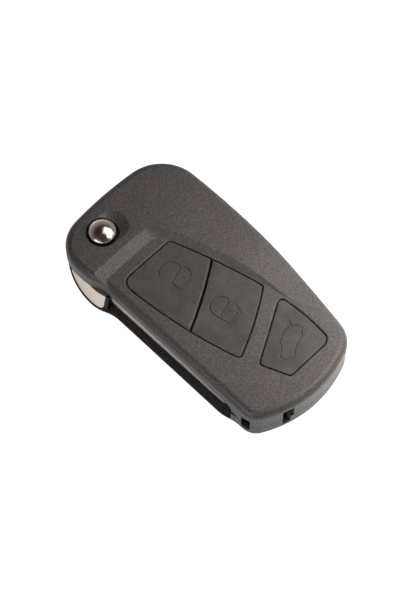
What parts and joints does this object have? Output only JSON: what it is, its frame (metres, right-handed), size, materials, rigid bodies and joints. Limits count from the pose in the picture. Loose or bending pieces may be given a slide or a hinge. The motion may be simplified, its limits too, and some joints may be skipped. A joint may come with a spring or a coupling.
{
  "type": "folding car key casing",
  "caption": "Folding car key casing with a swing-out uncut blade, a sprung release button, keys for unlock, lock and trunk, and a key ring passage.",
  "frame": {"origin": "middle of the casing's plan at the back face", "axes": "+X across the casing away from the blade slot, +Y along it towards the release button, +Z from the back face to the keys"},
  "size_m": [0.0428, 0.0782, 0.0146],
  "materials": {
    "casing": "spark textured dark grey",
    "keys": "smooth matte dark grey",
    "inner_plastic": "plain moulded black",
    "head_plastic": "plain moulded black",
    "silicone": "soft matte black",
    "chrome": "polished plating",
    "trim": "satin pale beige metal",
    "blade": "nickel plated, fine brushed",
    "spring_steel": "drawn wire and stamped strip",
    "screws": "black zinc"
  },
  "bodies": {
    "casing": {"front_cover": "casing", "back_cover": "casing", "board_tray": "inner_plastic", "keypad_frame": "inner_plastic", "keypad_mat": "silicone", "spring_seat": "inner_plastic", "pivot_washer": "spring_steel", "case_screw_ring_end": "screws", "case_screw_pivot_end": "screws"},
    "flip": {"flip_head": "head_plastic", "head_trim": "trim", "key_blade": "blade", "blade_pin": "blade", "chip_plug": "head_plastic", "flip_spring": "spring_steel"},
    "release": {"release_button": "chrome", "release_plunger": "inner_plastic"},
    "unlock_key": {"key_unlock": "keys"},
    "lock_key": {"key_lock": "keys"},
    "trunk_key": {"key_trunk": "keys"}
  },
  "joints": [
    {"name": "flip_hinge", "type": "hinge", "parent": "casing", "child": "flip", "pos_m": [-0.00845, 0.0307, 0], "axis": [0, 0, -1], "range_deg": [0, 180]},
    {"name": "release_press", "type": "slide", "parent": "flip", "child": "release", "axis": [0, 0, -1], "range_m": [0, 0.002], "stiffness_N_per_m": 1500, "springref_m": -0.0005, "deforming": ["flip_spring"]},
    {"name": "unlock_press", "type": "slide", "parent": "casing", "child": "unlock_key", "axis": [0, 0, -1], "range_m": [0, 0.0005], "stiffness_N_per_m": 3000, "springref_m": -0.0002},
    {"name": "lock_press", "type": "slide", "parent": "casing", "child": "lock_key", "axis": [0, 0, -1], "range_m": [0, 0.0005], "stiffness_N_per_m": 3000, "springref_m": -0.0002},
    {"name": "trunk_press", "type": "slide", "parent": "casing", "child": "trunk_key", "axis": [0, 0, -1], "range_m": [0, 0.0005], "stiffness_N_per_m": 3000, "springref_m": -0.0002}
  ]
}
